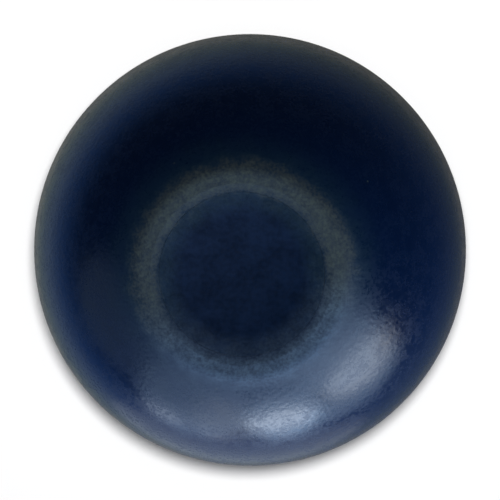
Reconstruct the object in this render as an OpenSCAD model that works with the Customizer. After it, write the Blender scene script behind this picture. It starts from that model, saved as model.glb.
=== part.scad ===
// Lawn bowl, lying on its large-ring side with the small ring up.
// Millimetres. +Z is the bowl's own axis and z = 0 is the flat land it rests on.
// A dense core is closed in by two moulded shell halves that lap at the running line.
// Each half carries a dished blank disc, cemented into a pocket inside its ring.

/* [Running surface] */
// Diameter at the running line, the circle that the bowl rolls on
running_diameter = 122.2; // [112:0.1:134]
// Profile radius on the small-ring side, as a share of the running radius
small_side_fullness = 0.933; // [0.91:0.001:0.96]
// Profile radius on the large-ring side, as a share of the running radius
large_side_fullness = 0.9; // [0.87:0.001:0.93]

/* [Rings] */
// Radius of the small ring, to the middle of its land
small_ring = 25.2; // [22:0.1:27]
// Radius of the large ring, to the middle of its land
large_ring = 28.2; // [25:0.1:30]
// Width of the flat land that wear leaves on a ring
ring_land = 1.8; // [1:0.1:2.5]
// Rounding outside the land, where a ring blends into the running surface
outer_round = 6; // [3:0.5:8]
// Rounding inside the land, where a ring turns down to its dished face
inner_round = 1.6; // [0.5:0.1:2.5]
// Depth of the dished face below the land
dish_depth = 2.6; // [1.5:0.1:3]

/* [Discs] */
// Distance from the middle of a ring's land in to the edge of its disc
disc_margin = 3.4; // [3:0.1:5]
// Thickness of a disc at its middle
disc_thickness = 2.4; // [1.6:0.1:3.5]
// Chamfer round the back of a disc
disc_chamfer = 0.5; // [0.2:0.1:1]
// Clearance round a disc in its pocket
disc_clearance = 0.05; // [0.03:0.01:0.1]
// Thickness of the cement bed under a disc
cement_bed = 0.3; // [0.2:0.05:0.6]

/* [Shell and core] */
// Wall of the moulded shell
shell_wall = 6; // [4:0.5:8]
// Floor of shell left under a disc's pocket
pocket_floor = 3; // [2:0.1:4]
// Height of the lap that registers the two halves at the running line
lap_height = 3; // [2:0.5:5]
// Rounding of the core's shoulders
core_round = 5; // [3:0.5:8]

/* [Hidden] */
$fn = 180;

SHELL_BLUE = [0.05, 0.09, 0.17];
DISC_BLUE = [0.03, 0.07, 0.14];
CORE_GREY = [0.33, 0.34, 0.31];
CEMENT_AMBER = [0.62, 0.50, 0.30];

running_radius = running_diameter / 2;
small_arc = small_side_fullness * running_radius;
large_arc = large_side_fullness * running_radius;
small_height = land_height(small_arc, small_ring);
large_height = land_height(large_arc, large_ring);

// Depth of a pocket's floor, and of the core's flat, below the land.
pocket_depth = dish_depth + disc_thickness + cement_bed;
core_depth = pocket_depth + pocket_floor;

// Distance from the axis to the centre of a side's profile arc.
function arc_offset(arc) = running_radius - arc;

// Height of a flat at the end of a profile arc, where a rounding of the given radius
// is tangent to both and leaves the flat at the given distance from the axis.
function flat_height(arc, flat, rounding) =
    rounding + sqrt(pow(arc - rounding, 2) - pow(flat - arc_offset(arc), 2));

// Distance from the axis to the edge of such a flat at a given height.
function flat_edge(arc, offset, height, rounding) =
    offset + sqrt(pow(arc - rounding, 2) - pow(height - rounding, 2));

function land_height(arc, ring) = flat_height(arc, ring + ring_land / 2, outer_round);

// Radius of the dish that is tangent to a ring's inner rounding at its stated depth.
function dish_radius(ring) =
    (pow(ring - ring_land / 2, 2) + pow(dish_depth, 2)) / (2 * dish_depth) - inner_round;

function disc_radius(ring) = ring - disc_margin;

// Slice of a circle between two directions, in degrees.
module sector(centre, radius, start, end) {
    steps = 4;
    translate(centre)
    intersection() {
        circle(radius);
        polygon([
            [0, 0],
            for (step = [0 : steps])
                let (turn = start + (end - start) * step / steps)
                2 * radius * [cos(turn), sin(turn)]
        ]);
    }
}

// Half section of one side: a profile arc, a tangent rounding and a flat on top.
module domed_side(arc, offset, flat, height, rounding) {
    round_centre = [flat, height - rounding];
    tangent = atan2(round_centre.y, round_centre.x - offset);
    polygon([
        [0, 0],
        [offset + arc, 0],
        [offset + arc * cos(tangent), arc * sin(tangent)],
        [flat, height],
        [0, height]
    ]);
    sector([offset, 0], arc, 0, tangent);
    sector(round_centre, rounding, tangent, 90);
}

// Section of the air over a dished face, out to the land's inner edge.
module dish_space(ring, height) {
    land_edge = ring - ring_land / 2;
    radius = dish_radius(ring);
    round_centre = [land_edge, height - inner_round];
    dish_centre = [0, height - dish_depth + radius];
    tangent = atan2(dish_centre.y - round_centre.y, dish_centre.x - round_centre.x);
    sector(dish_centre, radius, -90, tangent - 180);
    difference() {
        polygon([dish_centre, round_centre, [land_edge, dish_centre.y]]);
        sector(round_centre, inner_round, 90, tangent);
    }
}

// Section of the whole bowl on one side of the running line.
module bowl_side(arc, ring, height) {
    difference() {
        domed_side(arc, arc_offset(arc), ring + ring_land / 2, height, outer_round);
        dish_space(ring, height);
    }
}

// Section of the core on one side of the running line.
module core_side(arc, height) {
    inner_arc = arc - shell_wall;
    flat_z = height - core_depth;
    flat = flat_edge(inner_arc, arc_offset(arc), flat_z, core_round);
    domed_side(inner_arc, arc_offset(arc), flat, flat_z, core_round);
}

module core_section() {
    core_side(small_arc, small_height);
    mirror([0, 1]) core_side(large_arc, large_height);
}

// Section of the pocket that a disc and its cement fill.
module disc_pocket(ring, height) {
    translate([0, height - pocket_depth])
    square([disc_radius(ring) + disc_clearance, pocket_depth]);
}

// Section of the tongue below the running line, reaching half way through the wall.
module lap_tongue() {
    translate([running_radius - 1.5 * shell_wall, -lap_height])
    square([shell_wall, lap_height]);
}

// Cement bed on the floor of the pocket on a side that points up.
module cement(ring, height) {
    translate([0, 0, height - pocket_depth])
    cylinder(r = disc_radius(ring) + disc_clearance, h = cement_bed);
}

// Disc with a dished face, flush with the face of the shell round it.
module disc(ring, height) {
    edge = disc_radius(ring);
    back = height - pocket_depth + cement_bed;
    rotate_extrude()
    difference() {
        polygon([
            [0, back],
            [edge - disc_chamfer, back],
            [edge, back + disc_chamfer],
            [edge, height],
            [0, height]
        ]);
        dish_space(ring, height);
    }
}

// Places what is drawn about the running line at its height above the rest.
module on_rest() {
    translate([0, 0, large_height]) children();
}

// Turns a side that points up into the large-ring side, which points down.
module large_side() {
    on_rest() mirror([0, 0, 1]) children();
}

module core() {
    color(CORE_GREY)
    on_rest()
    rotate_extrude() core_section();
}

module small_ring_shell() {
    color(SHELL_BLUE)
    on_rest()
    rotate_extrude()
    difference() {
        union() {
            bowl_side(small_arc, small_ring, small_height);
            lap_tongue();
        }
        core_section();
        disc_pocket(small_ring, small_height);
    }
}

module large_ring_shell() {
    color(SHELL_BLUE)
    on_rest()
    rotate_extrude()
    difference() {
        mirror([0, 1]) bowl_side(large_arc, large_ring, large_height);
        core_section();
        mirror([0, 1]) disc_pocket(large_ring, large_height);
        lap_tongue();
    }
}

module small_disc_cement() {
    color(CEMENT_AMBER) on_rest() cement(small_ring, small_height);
}

module large_disc_cement() {
    color(CEMENT_AMBER) large_side() cement(large_ring, large_height);
}

module small_disc() {
    color(DISC_BLUE) on_rest() disc(small_ring, small_height);
}

module large_disc() {
    color(DISC_BLUE) large_side() disc(large_ring, large_height);
}

core();
small_ring_shell();
large_ring_shell();
small_disc_cement();
large_disc_cement();
small_disc();
large_disc();
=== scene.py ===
"""Lawn bowl: the detailed, worn surface of a biased outdoor bowl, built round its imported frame."""

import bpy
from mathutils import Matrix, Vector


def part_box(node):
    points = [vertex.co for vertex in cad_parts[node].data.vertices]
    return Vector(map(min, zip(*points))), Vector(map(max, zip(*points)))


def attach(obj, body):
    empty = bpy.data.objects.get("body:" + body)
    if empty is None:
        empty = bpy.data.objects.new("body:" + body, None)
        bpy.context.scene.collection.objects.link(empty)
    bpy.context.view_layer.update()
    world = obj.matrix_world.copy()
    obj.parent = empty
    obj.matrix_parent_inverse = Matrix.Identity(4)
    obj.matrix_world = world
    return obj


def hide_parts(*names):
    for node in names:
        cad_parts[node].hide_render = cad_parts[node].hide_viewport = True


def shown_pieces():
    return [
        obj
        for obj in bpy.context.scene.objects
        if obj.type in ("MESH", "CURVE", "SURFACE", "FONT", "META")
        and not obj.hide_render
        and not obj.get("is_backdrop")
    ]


bl_info = {
    "name": "Lawn Bowl",
    "version": (1, 0, 0),
    "blender": (4, 5, 0),
    "location": "3D View > Sidebar > Lawn Bowl",
    "description": "Builds a worn satin lawn bowl, its cemented discs and a pale studio",
    "category": "Add Mesh",
}

import math
import random

import bmesh
import bpy
from bpy.props import FloatProperty, FloatVectorProperty, IntProperty, PointerProperty
from mathutils import Matrix, Vector, kdtree, noise

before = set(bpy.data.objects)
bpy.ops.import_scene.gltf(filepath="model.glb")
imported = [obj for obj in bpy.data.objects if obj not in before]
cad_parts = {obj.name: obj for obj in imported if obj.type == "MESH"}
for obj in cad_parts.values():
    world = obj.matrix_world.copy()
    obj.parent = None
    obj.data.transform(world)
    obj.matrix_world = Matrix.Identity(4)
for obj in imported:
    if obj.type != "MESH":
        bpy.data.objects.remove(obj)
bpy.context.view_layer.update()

MM = 0.001
# Points of a section that are nearer than this are one point.
SAME_POINT = 1e-7
# Edges that turn more than this are shaded as corners.
SHARP_ANGLE = math.radians(35)
RUNNING_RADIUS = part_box("large_ring_shell")[1].y
RUNNING_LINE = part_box("large_ring_shell")[1].z
BOWL_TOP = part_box("small_ring_shell")[1].z
SMALL_DISC_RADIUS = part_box("small_disc")[1].y
LARGE_DISC_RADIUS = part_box("large_disc")[1].y
LAP_HEIGHT = RUNNING_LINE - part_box("small_ring_shell")[0].z


# ---------------------------------------------------------------- sizes and colours


class BowlShape(bpy.types.PropertyGroup):
    """Sizes of the shell and its rings."""

    small_fullness: FloatProperty(
        name="Small-side fullness",
        description="Profile radius on the small-ring side, as a share of the running radius",
        default=0.933,
        min=0.91,
        max=0.96,
        subtype="FACTOR",
    )
    large_fullness: FloatProperty(
        name="Large-side fullness",
        description="Profile radius on the large-ring side, as a share of the running radius",
        default=0.9,
        min=0.87,
        max=0.93,
        subtype="FACTOR",
    )
    small_ring: FloatProperty(
        name="Small ring",
        description="Radius of the small ring, to the middle of its land",
        default=25.2 * MM,
        unit="LENGTH",
    )
    large_ring: FloatProperty(
        name="Large ring",
        description="Radius of the large ring, to the middle of its land",
        default=28.2 * MM,
        unit="LENGTH",
    )
    land: FloatProperty(
        name="Land",
        description="Width of the flat that wear leaves on a ring",
        default=1.8 * MM,
        unit="LENGTH",
    )
    outer_round: FloatProperty(
        name="Outer rounding",
        description="Rounding where a ring blends into the running surface",
        default=6 * MM,
        unit="LENGTH",
    )
    inner_round: FloatProperty(
        name="Inner rounding",
        description="Rounding where a ring turns down to its dished face",
        default=1.6 * MM,
        unit="LENGTH",
    )
    dish_depth: FloatProperty(
        name="Dish depth",
        description="Depth of a dished face below the land of its ring",
        default=2.6 * MM,
        unit="LENGTH",
    )
    wall: FloatProperty(
        name="Wall",
        description="Thickness of the moulded shell",
        default=6 * MM,
        unit="LENGTH",
    )
    core_round: FloatProperty(
        name="Core rounding",
        description="Rounding of the core's shoulders, and of the shell's inside round them",
        default=5 * MM,
        unit="LENGTH",
    )


class DiscShape(bpy.types.PropertyGroup):
    """Sizes of the blank discs and of the pockets they sit in."""

    thickness: FloatProperty(
        name="Thickness",
        description="Thickness of a disc at its middle",
        default=2.4 * MM,
        unit="LENGTH",
    )
    cement: FloatProperty(
        name="Cement",
        description="Thickness of the cement bed under a disc",
        default=0.3 * MM,
        unit="LENGTH",
    )
    clearance: FloatProperty(
        name="Clearance",
        description="Gap round a disc in its pocket",
        default=0.05 * MM,
        unit="LENGTH",
    )
    chamfer: FloatProperty(
        name="Chamfer",
        description="Chamfer round the back of a disc",
        default=0.5 * MM,
        unit="LENGTH",
    )
    floor: FloatProperty(
        name="Pocket floor",
        description="Shell left under the cement",
        default=3 * MM,
        unit="LENGTH",
    )


class BowlWear(bpy.types.PropertyGroup):
    """How far play and storage have worn the bowl."""

    seed: IntProperty(
        name="Seed",
        description="Chooses where the dents fall",
        default=7,
        min=0,
    )
    dents: IntProperty(
        name="Dents",
        description="How many small dents the running surface of each half has",
        default=36,
        min=0,
    )
    dent_depth: FloatProperty(
        name="Dent depth",
        description="Depth of the deepest dent",
        default=0.035 * MM,
        unit="LENGTH",
    )
    pit_depth: FloatProperty(
        name="Pit depth",
        description="Depth of the grain that storage has rubbed into a ring",
        default=0.05 * MM,
        unit="LENGTH",
    )


class BowlFinish(bpy.types.PropertyGroup):
    """Colours of the materials."""

    navy: FloatVectorProperty(
        name="Navy",
        description="Colour of the moulded shell",
        default=(0.0012, 0.0088, 0.037),
        subtype="COLOR",
    )
    disc_navy: FloatVectorProperty(
        name="Disc navy",
        description="Colour of the discs",
        default=(0.002, 0.013, 0.046),
        subtype="COLOR",
    )
    rubbed: FloatVectorProperty(
        name="Rubbed khaki",
        description="Colour of the dust and filler that show where a ring is worn",
        default=(0.06, 0.083, 0.087),
        subtype="COLOR",
    )
    hazed: FloatVectorProperty(
        name="Hazed teal",
        description="Colour of the thin haze round a worn ring",
        default=(0.03, 0.08, 0.105),
        subtype="COLOR",
    )
    # Painted window light: a blue-grey painted on the worn ring's side that faces the windows, in place of
    # their reflection there.
    painted_window_light: FloatVectorProperty(
        name="Lit-side blue-grey",
        description="Colour of the worn ring on the side that faces the windows",
        default=(0.085, 0.14, 0.22),
        subtype="COLOR",
    )
    core_grey: FloatVectorProperty(
        name="Core grey",
        description="Colour of the filled core",
        default=(0.2, 0.21, 0.19),
        subtype="COLOR",
    )
    amber: FloatVectorProperty(
        name="Cement amber",
        description="Colour of the set cement",
        default=(0.35, 0.26, 0.13),
        subtype="COLOR",
    )


class BowlStudio(bpy.types.PropertyGroup):
    """Floor, lights and camera."""

    floor_colour: FloatVectorProperty(
        name="Floor",
        description="Colour of the floor",
        default=(0.81, 0.81, 0.81),
        subtype="COLOR",
    )
    window_colour: FloatVectorProperty(
        name="Window colour",
        description="Colour of the light from the low windows",
        default=(0.48, 0.7, 1.0),
        subtype="COLOR",
    )
    pane_colour: FloatVectorProperty(
        name="Pane colour",
        description="Colour of the light from the brighter panes",
        default=(0.83, 0.9, 1.0),
        subtype="COLOR",
    )
    key_colour: FloatVectorProperty(
        name="Key colour",
        description="Colour of the soft light from overhead",
        default=(1.0, 0.96, 0.9),
        subtype="COLOR",
    )
    camera_distance: FloatProperty(
        name="Camera distance",
        description="Distance from the middle of the bowl to the camera",
        default=0.7,
        unit="LENGTH",
    )
    camera_lean: FloatProperty(
        name="Camera lean",
        description="Angle between the bowl's axis and the line of sight",
        default=math.radians(7.6),
        unit="ROTATION",
    )
    camera_side: FloatProperty(
        name="Camera side",
        description="Direction in which the camera leans, anticlockwise from +X",
        default=math.radians(71.5),
        unit="ROTATION",
    )
    outline_share: FloatProperty(
        name="Outline share",
        description="Width of the bowl's outline, as a share of the picture's width",
        default=0.864,
        min=0.1,
        max=1.0,
        subtype="FACTOR",
    )


# ---------------------------------------------------------------- objects and where they go


def add_object(name, data):
    """A new object in the scene."""
    made = bpy.data.objects.new(name, data)
    bpy.context.scene.collection.objects.link(made)
    return made


def from_bowl(turn, rise):
    """Direction out from the bowl's middle, by its turn from +X and its rise."""
    return Vector((math.cos(turn) * math.cos(rise), math.sin(turn) * math.cos(rise), math.sin(rise)))


def aimed(across, upward, away, distance):
    """Placing of a lamp or camera that looks back at the bowl's middle along a direction away from it."""
    middle = Vector((0, 0, RUNNING_LINE))
    facing = Matrix((across, upward, away)).transposed()
    return Matrix.Translation(middle + away * distance) @ facing.to_4x4()


# ---------------------------------------------------------------- sections and turned solids


def arc_points(centre, radius, start, end, spacing):
    """Points along an arc between two directions, at most a spacing apart."""
    steps = max(2, math.ceil(abs(end - start) * radius / spacing))
    turns = [start + (end - start) * step / steps for step in range(steps + 1)]
    return [
        (centre[0] + radius * math.cos(turn), centre[1] + radius * math.sin(turn))
        for turn in turns
    ]


def line_points(start, end, spacing):
    """Points along a straight line, at most a spacing apart."""
    steps = max(1, math.ceil(math.dist(start, end) / spacing))
    return [
        (start[0] + (end[0] - start[0]) * step / steps, start[1] + (end[1] - start[1]) * step / steps)
        for step in range(steps + 1)
    ]


def joined(*runs):
    """One run of points from several, without the points they share."""
    points = []
    for run in runs:
        for point in run:
            if not points or math.dist(points[-1], point) > SAME_POINT:
                points.append(point)
    return points


class BowlSide:
    """Section of one side of the bowl, as distance from the axis and height over the running line."""

    def __init__(self, shape, disc_shape, fullness, ring, height, disc_radius):
        self.shape = shape
        self.disc_shape = disc_shape
        self.arc = fullness * RUNNING_RADIUS
        self.offset = RUNNING_RADIUS - self.arc
        self.ring = ring
        self.height = height
        self.land_outside = ring + shape.land / 2
        self.land_inside = ring - shape.land / 2
        self.disc_radius = disc_radius
        depth = shape.dish_depth
        self.dish_radius = (self.land_inside**2 + depth**2) / (2 * depth) - shape.inner_round
        self.dish_centre = (0, height - depth + self.dish_radius)
        self.pocket_depth = depth + disc_shape.thickness + disc_shape.cement

    def dish_height(self, radius):
        """Height of the dished face at a distance from the axis."""
        return self.dish_centre[1] - math.sqrt(self.dish_radius**2 - radius**2)

    def dome(self, arc, flat, height, rounding, spacing, fine):
        """From the running line over a profile arc and a rounding to the edge of a flat."""
        centre = (flat, height - rounding)
        tangent = math.atan2(centre[1], flat - self.offset)
        return joined(
            arc_points((self.offset, 0), arc, 0, tangent, spacing),
            arc_points(centre, rounding, tangent, math.pi / 2, fine),
        )

    def outside(self, spacing, fine):
        """From the running line over the ring and down the dish to the edge of the pocket."""
        shape = self.shape
        turned = (self.land_inside, self.height - shape.inner_round)
        tangent = math.atan2(self.dish_centre[1] - turned[1], -turned[0])
        pocket = self.disc_radius + self.disc_shape.clearance
        edge = math.asin(pocket / self.dish_radius)
        return joined(
            self.dome(self.arc, self.land_outside, self.height, shape.outer_round, spacing, fine),
            line_points((self.land_outside, self.height), (self.land_inside, self.height), fine),
            arc_points(turned, shape.inner_round, math.pi / 2, tangent, fine),
            arc_points(
                self.dish_centre, self.dish_radius, tangent - math.pi, edge - math.pi / 2, fine
            ),
        )

    def inside(self, spacing):
        """From the running line along the inside of the wall to the axis."""
        arc = self.arc - self.shape.wall
        height = self.height - self.pocket_depth - self.disc_shape.floor
        rounding = self.shape.core_round
        flat = self.offset + math.sqrt((arc - rounding) ** 2 - (height - rounding) ** 2)
        return joined(self.dome(arc, flat, height, rounding, spacing, spacing), [(0, height)])

    def pocket(self, wall_spacing, floor_spacing):
        """From the top of the pocket's wall down to its floor and in to the axis."""
        radius = self.disc_radius + self.disc_shape.clearance
        floor = self.height - self.pocket_depth
        return joined(
            line_points((radius, self.dish_height(radius)), (radius, floor), wall_spacing),
            line_points((radius, floor), (0, floor), floor_spacing),
        )

    def disc(self, spacing):
        """From the axis over the dished face, round the edge and along the back to the axis."""
        radius = self.disc_radius
        chamfer = self.disc_shape.chamfer
        back = self.height - self.pocket_depth + self.disc_shape.cement
        edge = math.asin(radius / self.dish_radius)
        return joined(
            arc_points(self.dish_centre, self.dish_radius, -math.pi / 2, edge - math.pi / 2, spacing),
            [(radius, back + chamfer), (radius - chamfer, back), (0, back)],
        )


def turned_solid(name, section, segments, upright):
    """A closed solid turned from a section that runs from the axis to the axis."""
    mesh_builder = bmesh.new()
    rings = []
    for radius, height in section:
        level = RUNNING_LINE + (height if upright else -height)
        if radius < SAME_POINT:
            rings.append([mesh_builder.verts.new((0, 0, level))])
            continue
        turns = [2 * math.pi * step / segments for step in range(segments)]
        rings.append(
            [
                mesh_builder.verts.new((radius * math.cos(turn), radius * math.sin(turn), level))
                for turn in turns
            ]
        )
    for lower, upper in zip(rings, rings[1:]):
        for step in range(segments):
            after = (step + 1) % segments
            corners = [lower[step % len(lower)], lower[after % len(lower)]]
            corners += [upper[after % len(upper)], upper[step % len(upper)]]
            mesh_builder.faces.new(dict.fromkeys(corners))
    bmesh.ops.recalc_face_normals(mesh_builder, faces=mesh_builder.faces)
    mesh = bpy.data.meshes.new(name)
    mesh_builder.to_mesh(mesh)
    mesh_builder.free()
    mesh.shade_smooth()
    mesh.set_sharp_from_angle(angle=SHARP_ANGLE)
    return add_object(name, mesh)


# ---------------------------------------------------------------- wear in the surface


# How far from the middle of a ring's land its grain reaches, across and down.
RUB_WIDTH = 4 * MM
RUB_HEIGHT = 3 * MM
# Sizes of the grain, and what sets the coarse grain apart from the fine.
FINE_PITS = 0.55 * MM
COARSE_PITS = 2.2 * MM
COARSE_SHIFT = Vector((7, 3, 1))
# Distance from the axis at which the dents begin.
DENTS_FROM = 34 * MM
# Smallest and largest radius of a dent, and of its depth as a share of the deepest.
DENT_RADII = (1 * MM, 2.4 * MM)
DENT_SHARES = (0.25, 1)


def fading(share):
    """From 1 at the middle of a mark to 0 at its edge, smooth at both."""
    return (1 - share**2) ** 2


def pits(place):
    """Noise from 0 to 1."""
    return 0.5 + 0.5 * noise.noise(place)


def rub_ring(piece, side, upright, depth):
    """Sinks a fine grain into the land of a ring and the roundings beside it."""
    level = RUNNING_LINE + (side.height if upright else -side.height)
    inward = -1 if upright else 1
    for vertex in piece.data.vertices:
        share = abs(math.hypot(vertex.co.x, vertex.co.y) - side.ring) / RUB_WIDTH
        if share > 1 or abs(vertex.co.z - level) > RUB_HEIGHT:
            continue
        grain = pits(vertex.co / FINE_PITS) * pits(vertex.co / COARSE_PITS + COARSE_SHIFT)
        vertex.co.z += inward * depth * fading(share) * grain


def on_running_surface(vertex):
    """Whether a vertex is on the outside of the shell and clear of the rings."""
    from_middle = vertex.co - Vector((0, 0, RUNNING_LINE))
    return math.hypot(vertex.co.x, vertex.co.y) > DENTS_FROM and vertex.normal.dot(from_middle) > 0


def dent(piece, count, depth, seed):
    """Presses small round dents into the running surface."""
    chance = random.Random(seed)
    vertices = piece.data.vertices
    tree = kdtree.KDTree(len(vertices))
    for vertex in vertices:
        tree.insert(vertex.co, vertex.index)
    tree.balance()
    outer = [vertex.index for vertex in vertices if on_running_surface(vertex)]
    for _ in range(count):
        middle = vertices[chance.choice(outer)]
        radius = chance.uniform(*DENT_RADII)
        sink = depth * chance.uniform(*DENT_SHARES)
        inward = -middle.normal
        for _, index, distance in tree.find_range(middle.co.copy(), radius):
            vertices[index].co += inward * sink * fading(distance / radius)


# ---------------------------------------------------------------- materials


class Shading:
    """A node tree, with short calls for the nodes that its makers share."""

    def __init__(self, owner):
        owner.use_nodes = True
        self.tree = owner.node_tree

    def node(self, kind, **settings):
        """A new node with the given settings."""
        made = self.tree.nodes.new(kind)
        for setting, value in settings.items():
            setattr(made, setting, value)
        return made

    def feed(self, socket, value):
        """Links an output to a socket, or sets the socket to a constant."""
        if isinstance(value, bpy.types.NodeSocket):
            self.tree.links.new(value, socket)
        else:
            socket.default_value = value

    def reckon(self, operation, *values, clamp=False):
        """Result of a sum on outputs and numbers."""
        made = self.node("ShaderNodeMath", operation=operation, use_clamp=clamp)
        for socket, value in zip(made.inputs, values):
            self.feed(socket, value)
        return made.outputs["Value"]

    def plus(self, first, second, clamp=False):
        return self.reckon("ADD", first, second, clamp=clamp)

    def times(self, first, second):
        return self.reckon("MULTIPLY", first, second)


class Finish(Shading):
    """A material, and the patterns that the finishes are made of."""

    def __init__(self, name):
        self.material = bpy.data.materials.new(name)
        super().__init__(self.material)
        self.shader = self.tree.nodes["Principled BSDF"]
        self.place = self.node("ShaderNodeTexCoord").outputs["Object"]

    def measure(self, operation, first, second=None):
        """A vector sum's node, fed with a vector and, where it needs one, a constant vector."""
        made = self.node("ShaderNodeVectorMath", operation=operation)
        self.feed(made.inputs[0], first)
        if second:
            self.feed(made.inputs[1], second)
        return made.outputs

    def from_axis(self):
        """Where a place is, without its height."""
        return self.measure("MULTIPLY", self.place, (1, 1, 0))["Vector"]

    def reach(self):
        """Distance from the bowl's axis."""
        return self.measure("LENGTH", self.from_axis())["Value"]

    def side_of(self, degrees):
        """Cosine of the angle between a place's direction from the axis and a given direction."""
        turn = math.radians(degrees)
        towards = self.measure("NORMALIZE", self.from_axis())["Vector"]
        return self.measure("DOT_PRODUCT", towards, (math.cos(turn), math.sin(turn), 0))["Value"]

    def grain(self, size, detail=2.0, rough=0.5):
        """Noise from 0 to 1 with features of about the given size."""
        made = self.node("ShaderNodeTexNoise")
        self.feed(made.inputs["Vector"], self.place)
        self.feed(made.inputs["Scale"], 1 / size)
        self.feed(made.inputs["Detail"], detail)
        self.feed(made.inputs["Roughness"], rough)
        return made.outputs["Fac"]

    def ease(self, value, start, end, low=0.0, high=1.0):
        """Smooth step of a value from one level to another."""
        made = self.node("ShaderNodeMapRange", interpolation_type="SMOOTHSTEP")
        self.feed(made.inputs["Value"], value)
        self.feed(made.inputs["From Min"], start)
        self.feed(made.inputs["From Max"], end)
        self.feed(made.inputs["To Min"], low)
        self.feed(made.inputs["To Max"], high)
        return made.outputs["Result"]

    def blend(self, factor, first, second):
        """One colour where a factor is 0 and another where it is 1."""
        made = self.node("ShaderNodeMix", data_type="RGBA")
        self.feed(made.inputs["Factor"], factor)
        self.feed(made.inputs["A"], first)
        self.feed(made.inputs["B"], second)
        return made.outputs["Result"]

    def colour(self, value):
        """Sets or links the shader's colour."""
        self.feed(self.shader.inputs["Base Color"], value)

    def roughness(self, value):
        """Sets or links the shader's roughness."""
        self.feed(self.shader.inputs["Roughness"], value)

    def bump(self, height, distance):
        """Roughens the surface by a height from 0 to 1 times a distance."""
        made = self.node("ShaderNodeBump")
        self.feed(made.inputs["Height"], height)
        self.feed(made.inputs["Distance"], distance)
        self.feed(self.shader.inputs["Normal"], made.outputs["Normal"])


def rgba(colour, gain=1.0):
    """A colour for a socket, made lighter or darker by a gain."""
    return (*[gain * channel for channel in colour], 1)


def ring_rub(finish, ring):
    """How much a place near a ring is rubbed, from 0 to 1: softly both ways, and least on one side."""
    wander = finish.times(finish.plus(finish.grain(4 * MM, 3), -0.5), 3 * MM)
    reach = finish.plus(finish.reach(), wander)

    def band(start, end, low, high):
        """Smooth step between two distances from the ring, in millimetres."""
        return finish.ease(reach, ring + start * MM, ring + end * MM, low, high)

    inside = finish.plus(band(-4.3, -0.7, 0, 0.7), band(-10, -3.5, 0, 0.3))
    outside = finish.plus(band(0.7, 7, 0.75, 0), band(2, 14, 0.32, 0))
    # The rub is fainter towards one side of the ring.
    fainter_one_side = finish.ease(finish.side_of(60), -1, 0.3, 0.75, 1)
    return finish.times(finish.times(inside, outside), fainter_one_side)


def rub_grain(finish):
    """Fine grain in coarse patches, for a rubbed place."""
    grains = finish.ease(finish.grain(0.7 * MM, 3, 0.7), 0.34, 0.68, 0.5, 1.12)
    patches = finish.ease(finish.grain(3.5 * MM, 2), 0.3, 0.7, 0.7, 1)
    return finish.times(grains, patches)


def rub_and_painted_light_colour(finish, colours, amount):
    """Teal where the rub is slight and khaki where it is full, with painted window light: a bluer colour
    painted on the side facing the windows.
    """
    full = finish.blend(finish.ease(amount, 0.1, 0.5), rgba(colours.hazed), rgba(colours.rubbed))
    # Painted window light: how far round towards the windows the ring gets the painted blue-grey.
    painted_window_light = finish.ease(finish.side_of(-80), 0, 0.8)
    return finish.blend(painted_window_light, full, rgba(colours.painted_window_light))


def specks(finish):
    """Sparse specks, from 0 to 1."""
    cells = finish.node("ShaderNodeTexVoronoi")
    finish.feed(cells.inputs["Vector"], finish.place)
    finish.feed(cells.inputs["Scale"], 1 / (5 * MM))
    dot = finish.ease(cells.outputs["Distance"], 0.04, 0.075, 1, 0)
    chosen = finish.ease(cells.outputs["Color"], 0.5, 0.7)
    return finish.times(dot, chosen)


def shell_material(name, colours, ring):
    """Satin navy moulding, mottled and speckled, and rubbed khaki round its ring, with painted window light
    on the ring's side that faces the windows.
    """
    finish = Finish(name)
    mottle = finish.grain(4 * MM, 5, 0.7)
    speckle = finish.ease(finish.grain(1 * MM, 3, 0.7), 0.35, 0.65)
    navy = finish.blend(mottle, rgba(colours.navy, 0.7), rgba(colours.navy, 1.3))
    amount = finish.times(ring_rub(finish, ring), rub_grain(finish))
    # Navy blended with the ring's rub and, on the side facing the windows, its painted window light.
    worn = finish.blend(amount, navy, rub_and_painted_light_colour(finish, colours, amount))
    finish.colour(finish.blend(finish.times(specks(finish), 0.5), worn, rgba(colours.rubbed)))
    satin = finish.plus(finish.ease(mottle, 0.35, 0.65, 0.16, 0.27), finish.times(speckle, 0.07))
    finish.roughness(finish.plus(satin, finish.times(amount, 0.8), clamp=True))
    finish.bump(finish.grain(1.2 * MM, 1.5), 0.05 * MM)
    return finish.material


def disc_material(name, colours, ring):
    """Duller, clouded navy, with the edge of the ring's rub and its painted window light."""
    finish = Finish(name)
    grit = finish.ease(finish.grain(1.3 * MM, 3, 0.6), 0.35, 0.65)
    cloud = finish.ease(finish.grain(7 * MM, 2), 0.3, 0.7)
    mottle = finish.times(finish.plus(grit, cloud), 0.5)
    navy = finish.blend(mottle, rgba(colours.disc_navy, 0.55), rgba(colours.disc_navy, 1.05))
    amount = finish.times(ring_rub(finish, ring), rub_grain(finish))
    finish.colour(finish.blend(amount, navy, rub_and_painted_light_colour(finish, colours, amount)))
    finish.roughness(finish.ease(mottle, 0, 1, 0.36, 0.42))
    finish.bump(finish.grain(1.2 * MM, 1.5), 0.06 * MM)
    return finish.material


def core_material(colours):
    """Dull grey composite, gritty with its filler."""
    finish = Finish("core_filled_grey")
    filler = finish.grain(1.2 * MM, 4, 0.7)
    grit = finish.ease(filler, 0.35, 0.65)
    finish.colour(finish.blend(grit, rgba(colours.core_grey, 0.7), rgba(colours.core_grey, 1.25)))
    finish.roughness(0.85)
    finish.bump(filler, 0.1 * MM)
    return finish.material


def cement_material(colours):
    """Set amber cement, faintly clouded."""
    finish = Finish("cement_amber")
    cloud = finish.grain(4 * MM, 3, 0.6)
    finish.colour(finish.blend(cloud, rgba(colours.amber, 0.8), rgba(colours.amber, 1.15)))
    finish.roughness(0.3)
    finish.bump(cloud, 0.05 * MM)
    return finish.material


# ---------------------------------------------------------------- operators


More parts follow.
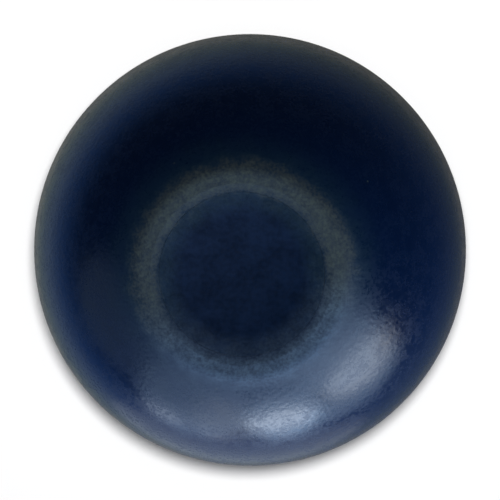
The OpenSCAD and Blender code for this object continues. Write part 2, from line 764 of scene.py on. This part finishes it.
def bowl_sides(scene):
    """The two sides, small ring first."""
    shape = scene.bowl_shape
    discs = scene.disc_shape
    small_height = BOWL_TOP - RUNNING_LINE
    return (
        BowlSide(shape, discs, shape.small_fullness, shape.small_ring, small_height, SMALL_DISC_RADIUS),
        BowlSide(shape, discs, shape.large_fullness, shape.large_ring, RUNNING_LINE, LARGE_DISC_RADIUS),
    )


class LAWNBOWL_OT_shells(bpy.types.Operator):
    """Builds the two halves of the moulded shell"""

    bl_idname = "lawnbowl.shells"
    bl_label = "Shell halves"

    body_spacing = 0.75 * MM
    ring_spacing = 0.25 * MM
    hidden_spacing = 3 * MM
    pocket_wall_spacing = 1 * MM
    pocket_floor_spacing = 4 * MM
    segments = 600
    # How far the inside of the wall has curved in by the top of the lap.
    rebate_inset = 0.1 * MM

    def execute(self, context):
        scene = context.scene
        small, large = bowl_sides(scene)
        wear = scene.bowl_wear
        wall = scene.bowl_shape.wall
        lap_radius = RUNNING_RADIUS - wall / 2
        tongue = [(lap_radius, 0), (lap_radius, -LAP_HEIGHT), (RUNNING_RADIUS - wall, -LAP_HEIGHT)]
        rebate = [(lap_radius, 0), (lap_radius, LAP_HEIGHT)]
        for name, side, upright, step, seed in (
            ("small_side_shell", small, True, tongue, wear.seed),
            ("large_side_shell", large, False, rebate, wear.seed + 1),
        ):
            inside = side.inside(self.hidden_spacing)
            if not upright:
                rebate_top = (RUNNING_RADIUS - wall - self.rebate_inset, LAP_HEIGHT)
                inside = [rebate_top, *(point for point in inside if point[1] > LAP_HEIGHT)]
            outside = side.outside(self.body_spacing, self.ring_spacing)
            pocket = side.pocket(self.pocket_wall_spacing, self.pocket_floor_spacing)
            section = joined(reversed(inside), reversed(step), outside, pocket)
            piece = turned_solid(name, section, self.segments, upright)
            rub_ring(piece, side, upright, wear.pit_depth)
            dent(piece, wear.dents, wear.dent_depth, seed)
            material = shell_material(name + "_navy_satin", scene.bowl_finish, side.ring)
            piece.data.materials.append(material)
            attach(piece, "root")
            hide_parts("small_ring_shell" if upright else "large_ring_shell")
        return {"FINISHED"}


class LAWNBOWL_OT_discs(bpy.types.Operator):
    """Builds the two blank discs"""

    bl_idname = "lawnbowl.discs"
    bl_label = "Discs"

    spacing = 0.4 * MM
    segments = 300

    def execute(self, context):
        small, large = bowl_sides(context.scene)
        for name, side, upright in (
            ("small_disc_face", small, True),
            ("large_disc_face", large, False),
        ):
            piece = turned_solid(name, side.disc(self.spacing), self.segments, upright)
            material = disc_material(name + "_navy_satin", context.scene.bowl_finish, side.ring)
            piece.data.materials.append(material)
            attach(piece, "root")
            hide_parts("small_disc" if upright else "large_disc")
        return {"FINISHED"}


class LAWNBOWL_OT_filling(bpy.types.Operator):
    """Finishes the core and the cement beds, which keep their CAD shapes"""

    bl_idname = "lawnbowl.filling"
    bl_label = "Core and cement"

    def execute(self, context):
        colours = context.scene.bowl_finish
        cement = cement_material(colours)
        for name, material in (
            ("core", core_material(colours)),
            ("small_disc_cement", cement),
            ("large_disc_cement", cement),
        ):
            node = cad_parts[name]
            node.data.materials.clear()
            node.data.materials.append(material)
        return {"FINISHED"}


class LAWNBOWL_OT_studio(bpy.types.Operator):
    """Adds the floor, the lights and the camera"""

    bl_idname = "lawnbowl.studio"
    bl_label = "Studio"

    floor_size = 8.0
    panel_distance = 1.5
    # Each panel's name, its direction from +X and its rise in degrees, its width and its height
    # in degrees as the bowl sees them, its brightness, and which of the studio's colours it has.
    panels = (
        ("window_right", -49, 22, 38, 36, 3.1, "window_colour"),
        ("window_middle", -79, 0, 22, 36, 3.6, "window_colour"),
        ("window_left", -110, 11, 36, 58, 1.5, "window_colour"),
        ("sill_right", -54, -7, 34, 22, 1.7, "window_colour"),
        ("pane_right", -46, 5, 30, 24, 3.2, "pane_colour"),
        ("pane_middle", -80, -2, 20, 15, 4.9, "pane_colour"),
        ("pane_left", -100, -1, 16, 34, 1.0, "pane_colour"),
        ("pane_low", -117, -12, 12, 10, 1.6, "pane_colour"),
        ("wall_left", -153, 12, 45, 36, 0.35, "window_colour"),
        ("glow_below", -95, -36, 50, 36, 0.4, "pane_colour"),
        ("overhead_bowl", -60, 68, 60, 60, 1.6, "key_colour"),
    )
    # The lamp over the floor, in the same order and without a colour.
    floor_lamp = ("overhead_floor", 73, 80.2, 3.9, 3.9, 815)
    floor_lamp_distance = 0.7
    floor_fill = 0.9
    floor_fill_angle = math.radians(60)
    # Colours of the room by how steeply it is looked down at, from level at 0 to straight down at 1.
    overhead = (0.002, 0.003, 0.006)
    room_shades = (
        (0.08, overhead),
        (0.4, (0.035, 0.1, 0.31)),
        (0.62, (0.15, 0.22, 0.35)),
        (0.83, (0.165, 0.215, 0.21)),
        (0.92, (0.24, 0.25, 0.235)),
    )
    underfoot = (0.13, 0.13, 0.12)
    # How much darker the room is towards +X than in the middle.
    room_lean = 0.75
    backdrop = (0.34, 0.34, 0.34)

    def execute(self, context):
        studio = context.scene.bowl_studio
        floor = self.add_floor(studio)
        self.light_floor(floor)
        self.light_bowl(studio)
        self.add_room(context.scene)
        self.add_camera(context.scene, studio)
        return {"FINISHED"}

    def add_floor(self, studio):
        """A plain pale floor under the bowl, which its gloss doesn't show."""
        half = self.floor_size / 2
        mesh = bpy.data.meshes.new("studio_floor")
        corners = [(-half, -half, 0), (half, -half, 0), (half, half, 0), (-half, half, 0)]
        mesh.from_pydata(corners, [], [range(4)])
        floor = add_object("studio_floor", mesh)
        finish = Finish("studio_floor_matt")
        cloud = finish.grain(0.3)
        colour = studio.floor_colour
        finish.colour(finish.blend(cloud, rgba(colour, 0.99), rgba(colour, 1.01)))
        finish.roughness(0.9)
        mesh.materials.append(finish.material)
        floor.visible_glossy = False
        floor.visible_shadow = False
        floor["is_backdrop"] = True
        return floor

    def light_floor(self, floor):
        """A lamp over the floor and a weak fill, which light the floor only."""
        receivers = bpy.data.collections.new("lit_floor")
        receivers.objects.link(floor)
        lamp = self.add_panel(*self.floor_lamp, self.floor_lamp_distance)
        lamp.light_linking.receiver_collection = receivers
        sun = bpy.data.lights.new("floor_fill", "SUN")
        sun.energy = self.floor_fill
        sun.angle = self.floor_fill_angle
        fill = add_object("floor_fill", sun)
        fill.light_linking.receiver_collection = receivers

    def light_bowl(self, studio):
        """Windows and soft panels that light the bowl only."""
        receivers = bpy.data.collections.new("lit_bowl")
        for part in dict.fromkeys([*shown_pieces(), *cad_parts.values()]):
            receivers.objects.link(part)
        for *placing, colour in self.panels:
            lamp = self.add_panel(*placing, self.panel_distance)
            lamp.data.color = getattr(studio, colour)
            lamp.light_linking.receiver_collection = receivers
            lamp.visible_glossy = not lamp.name.startswith("overhead")

    def add_panel(self, name, side, rise, wide, tall, glow, distance):
        """A flat oval light of one brightness, placed and sized by the angles it fills from the bowl.

        It has the area of a rectangle that is as wide and as tall as those angles.
        """
        light = bpy.data.lights.new(name, "AREA")
        light.shape = "ELLIPSE"
        reach = 4 * distance / math.sqrt(math.pi)
        light.size = reach * math.tan(math.radians(wide / 2))
        light.size_y = reach * math.tan(math.radians(tall / 2))
        light.energy = glow * math.pi**2 / 4 * light.size * light.size_y
        turn = math.radians(side)
        away = from_bowl(turn, math.radians(rise))
        across = Vector((-math.sin(turn), math.cos(turn), 0))
        lamp = add_object(name, light)
        lamp.matrix_world = aimed(across, away.cross(across), away, distance)
        return lamp

    def add_room(self, scene):
        """Dim surroundings, lighter and less blue below, in front of a plain backdrop."""
        world = bpy.data.worlds.new("studio_room")
        room = Shading(world)
        background = room.tree.nodes["Background"]
        parts = room.node("ShaderNodeSeparateXYZ")
        room.feed(parts.inputs["Vector"], room.node("ShaderNodeTexCoord").outputs["Generated"])
        shades = room.node("ShaderNodeValToRGB")
        room.feed(shades.inputs["Fac"], room.times(parts.outputs["Z"], -1))
        stops = shades.color_ramp.elements
        stops[0].color = (*self.overhead, 1)
        stops[1].color = (*self.underfoot, 1)
        for place, colour in self.room_shades:
            stops.new(place).color = (*colour, 1)
        room.feed(background.inputs["Color"], shades.outputs["Color"])
        strength = room.reckon("MULTIPLY_ADD", parts.outputs["X"], -self.room_lean, 1)
        room.feed(background.inputs["Strength"], strength)
        backdrop = room.node("ShaderNodeBackground")
        room.feed(backdrop.inputs["Color"], (*self.backdrop, 1))
        seen = room.node("ShaderNodeMixShader")
        room.feed(seen.inputs[0], room.node("ShaderNodeLightPath").outputs["Is Camera Ray"])
        room.feed(seen.inputs[1], background.outputs["Background"])
        room.feed(seen.inputs[2], backdrop.outputs["Background"])
        room.feed(room.tree.nodes["World Output"].inputs["Surface"], seen.outputs["Shader"])
        world.cycles.sampling_method = "NONE"
        scene.world = world

    def add_camera(self, scene, studio):
        """A camera over the bowl that leans off its axis and frames its outline."""
        sight = from_bowl(studio.camera_side, math.pi / 2 - studio.camera_lean)
        upward = (Vector((0, 1, 0)) - sight * sight.y).normalized()
        lens = bpy.data.cameras.new("camera")
        outline = math.asin(RUNNING_RADIUS / studio.camera_distance)
        lens.angle = 2 * math.atan(math.tan(outline) / studio.outline_share)
        camera = add_object("camera", lens)
        camera.matrix_world = aimed(upward.cross(sight), upward, sight, studio.camera_distance)
        scene.camera = camera
        scene.view_settings.view_transform = "Standard"


class LAWNBOWL_PT_sidebar(bpy.types.Panel):
    """Lists the steps that build the bowl and its studio"""

    bl_idname = "LAWNBOWL_PT_sidebar"
    bl_label = "Lawn Bowl"
    bl_space_type = "VIEW_3D"
    bl_region_type = "UI"
    bl_category = "Lawn Bowl"

    def draw(self, context):
        column = self.layout.column()
        for step in STEPS:
            column.operator(step.bl_idname)
        for group_name, group in GROUPS.items():
            values = getattr(context.scene, group_name)
            for value_name in group.__annotations__:
                column.prop(values, value_name)


GROUPS = {
    "bowl_shape": BowlShape,
    "disc_shape": DiscShape,
    "bowl_wear": BowlWear,
    "bowl_finish": BowlFinish,
    "bowl_studio": BowlStudio,
}
STEPS = (LAWNBOWL_OT_shells, LAWNBOWL_OT_discs, LAWNBOWL_OT_filling, LAWNBOWL_OT_studio)


def register():
    """Adds the groups to the scene's properties, and the steps and the panel to Blender."""
    for group_name, group in GROUPS.items():
        bpy.utils.register_class(group)
        setattr(bpy.types.Scene, group_name, PointerProperty(type=group))
    for step in STEPS:
        bpy.utils.register_class(step)
    bpy.utils.register_class(LAWNBOWL_PT_sidebar)


def unregister():
    """Takes away what register added."""
    bpy.utils.unregister_class(LAWNBOWL_PT_sidebar)
    for step in reversed(STEPS):
        bpy.utils.unregister_class(step)
    for group_name, group in GROUPS.items():
        delattr(bpy.types.Scene, group_name)
        bpy.utils.unregister_class(group)


def main():
    """Builds the bowl and its studio."""
    register()
    bpy.ops.lawnbowl.shells()
    bpy.ops.lawnbowl.discs()
    bpy.ops.lawnbowl.filling()
    bpy.ops.lawnbowl.studio()


if __name__ == "__main__":
    main()
